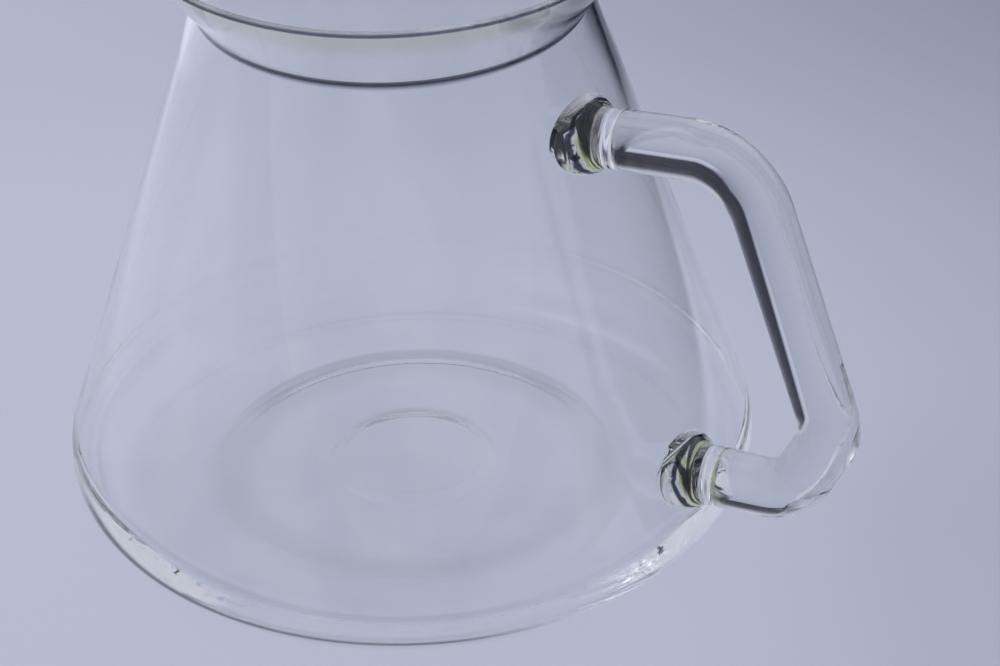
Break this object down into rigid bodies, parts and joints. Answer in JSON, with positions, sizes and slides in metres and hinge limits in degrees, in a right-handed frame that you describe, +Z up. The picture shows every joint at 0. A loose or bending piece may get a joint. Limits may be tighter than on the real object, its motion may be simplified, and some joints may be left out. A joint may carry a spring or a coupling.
{
  "type": "coffee server carafe",
  "caption": "Conical blown glass coffee server with a rounded heel, pinched neck, flared collar and a bent glass rod handle fused to its wall.",
  "frame": {"origin": "on the vessel's axis, in the plane of the foot ring that it stands on", "axes": "+Z up along the vessel's axis, +X towards the handle, +Y to the left of the handle"},
  "size_m": [0.1499, 0.1202, 0.1116],
  "materials": {
    "vessel_glass": "clear blown glass, fire-polished at the rim",
    "rod_glass": "clear drawn glass rod",
    "weld_glass": "clear glass gather with a faint olive tint in its thickness"
  },
  "bodies": {
    "root": {"vessel": "vessel_glass", "handle": "rod_glass", "upper_weld": "weld_glass", "lower_weld": "weld_glass"}
  },
  "joints": []
}
